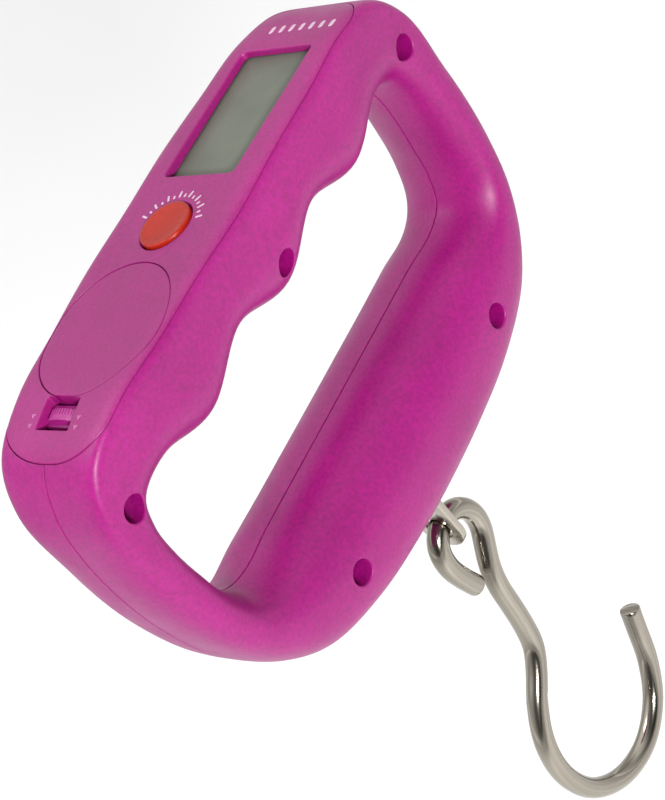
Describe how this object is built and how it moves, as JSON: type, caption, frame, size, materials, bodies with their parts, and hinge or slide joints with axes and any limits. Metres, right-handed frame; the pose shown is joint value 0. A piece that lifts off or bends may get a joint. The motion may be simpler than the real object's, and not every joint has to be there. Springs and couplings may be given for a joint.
{
  "type": "digital luggage scale",
  "caption": "Loop-handled hanging scale: display, button and battery door on the grip, finger ridges below it, and a wire hook on a lug under the lower bar.",
  "frame": {"origin": "centre of the hand grip, 10 mm below the crown of the control panel and midway between the two sides", "axes": "+X along the grip from the battery end to the display end; +Z out of the control panel, opposite to the way the hook hangs; +Y from the side with the screw recesses to the plain side"},
  "size_m": [0.118, 0.03, 0.173],
  "materials": {
    "shell_plastic": "satin moulded ABS, magenta, fine spark texture",
    "panel_plastic": "satin moulded ABS, magenta, slightly duller than the shells",
    "button_plastic": "orange-red button, soft gloss",
    "lcd_glass": "reflective grey-green display glass",
    "white_plastic": "white moulded frame",
    "zebra_rubber": "striped elastic connector",
    "board": "green glass-fibre board",
    "black_plastic": "black moulding or epoxy",
    "steel": "zinc-plated or stainless steel",
    "nickel_plate": "warm nickel plating with drawn-wire streaks",
    "alloy": "milled aluminium alloy",
    "gauge_film": "amber film with an etched foil grid",
    "cable_sheath": "black sheathed lead"
  },
  "bodies": {
    "handle": {"front_shell": "shell_plastic", "rear_shell": "shell_plastic", "control_panel": "panel_plastic", "lcd_front_glass": "lcd_glass", "lcd_rear_glass": "lcd_glass", "lcd_frame": "white_plastic", "zebra_strip": "zebra_rubber", "circuit_board": "board", "controller_chip": "black_plastic", "tact_switch": "black_plastic", "coin_cell": "steel", "contact_negative": "steel", "contact_positive": "steel", "sensor_cable": "cable_sheath", "load_cell": "alloy", "strain_gauge_top": "gauge_film", "strain_gauge_bottom": "gauge_film", "hook_lug": "nickel_plate", "lug_pin": "steel", "shell_screw_1": "steel", "shell_screw_2": "steel", "shell_screw_3": "steel", "shell_screw_4": "steel", "shell_screw_5": "steel", "board_screw_1": "steel", "board_screw_2": "steel", "board_screw_3": "steel", "board_screw_4": "steel", "load_cell_screw_1": "steel", "load_cell_screw_2": "steel"},
    "button": {"power_button": "button_plastic", "tact_plunger": "black_plastic"},
    "door": {"battery_door": "panel_plastic"},
    "latch": {"battery_door_latch": "panel_plastic"},
    "hanging_hook": {"hook": "nickel_plate"}
  },
  "joints": [
    {"name": "button_press", "type": "slide", "parent": "handle", "child": "button", "axis": [0, 0, -1], "range_m": [0, 0.0008], "stiffness_N_per_m": 1500},
    {"name": "door_hinge", "type": "hinge", "parent": "handle", "child": "door", "pos_m": [-0.0122, 0, 0.0099], "axis": [0, 1, 0], "range_deg": [0, 75]},
    {"name": "latch_slide", "type": "slide", "parent": "handle", "child": "latch", "axis": [-1, 0, 0], "range_m": [0, 0.0015], "stiffness_N_per_m": 600},
    {"name": "hook_swing", "type": "hinge", "parent": "handle", "child": "hanging_hook", "pos_m": [-0.0023, 0, -0.0784], "axis": [1, 0, 0], "range_deg": [-85, 85]}
  ]
}
